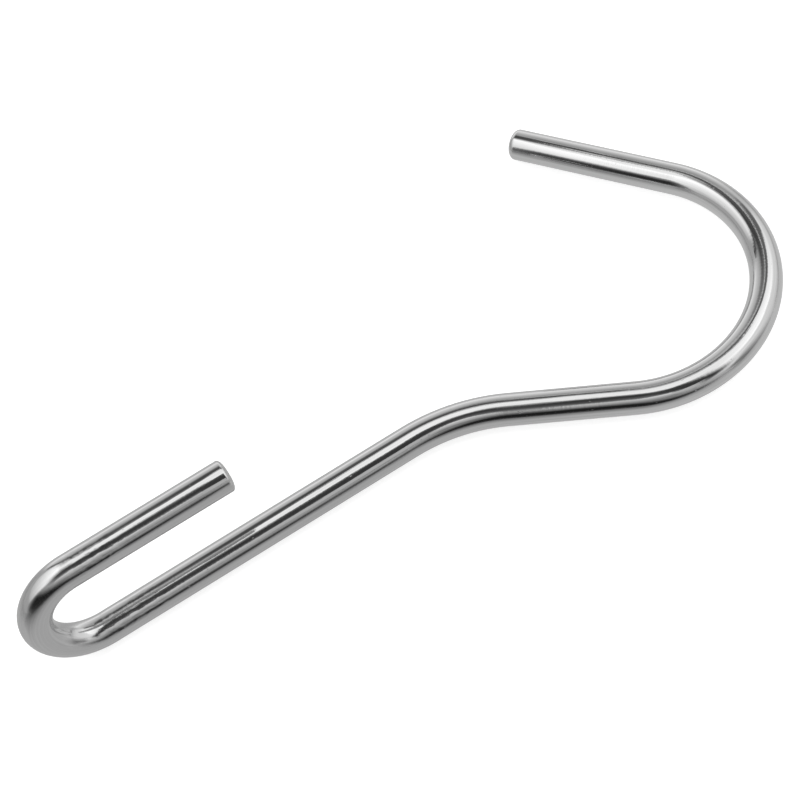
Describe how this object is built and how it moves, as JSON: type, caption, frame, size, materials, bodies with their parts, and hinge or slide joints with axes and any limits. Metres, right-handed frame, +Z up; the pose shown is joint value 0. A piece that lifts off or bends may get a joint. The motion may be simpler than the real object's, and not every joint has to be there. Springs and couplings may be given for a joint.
{
  "type": "s hook",
  "caption": "Open wire hook with a wide bend for a rail at one end and a narrow bend for a load, about a quarter turn from it, at the other end of a straight stem.",
  "frame": {"origin": "on the surface the hook lies on, under the middle of its bounding box", "axes": "+X along the stem from the load hook towards the rail hook, +Y towards the rail hook's open side, +Z up, out of the rail hook's plane, the way the load hook stands"},
  "size_m": [0.0892, 0.0408, 0.0148],
  "materials": {
    "stainless_wire": "bright drawn stainless steel with fine lengthways draw marks"
  },
  "bodies": {
    "root": {"s_hook": "stainless_wire"}
  },
  "joints": []
}
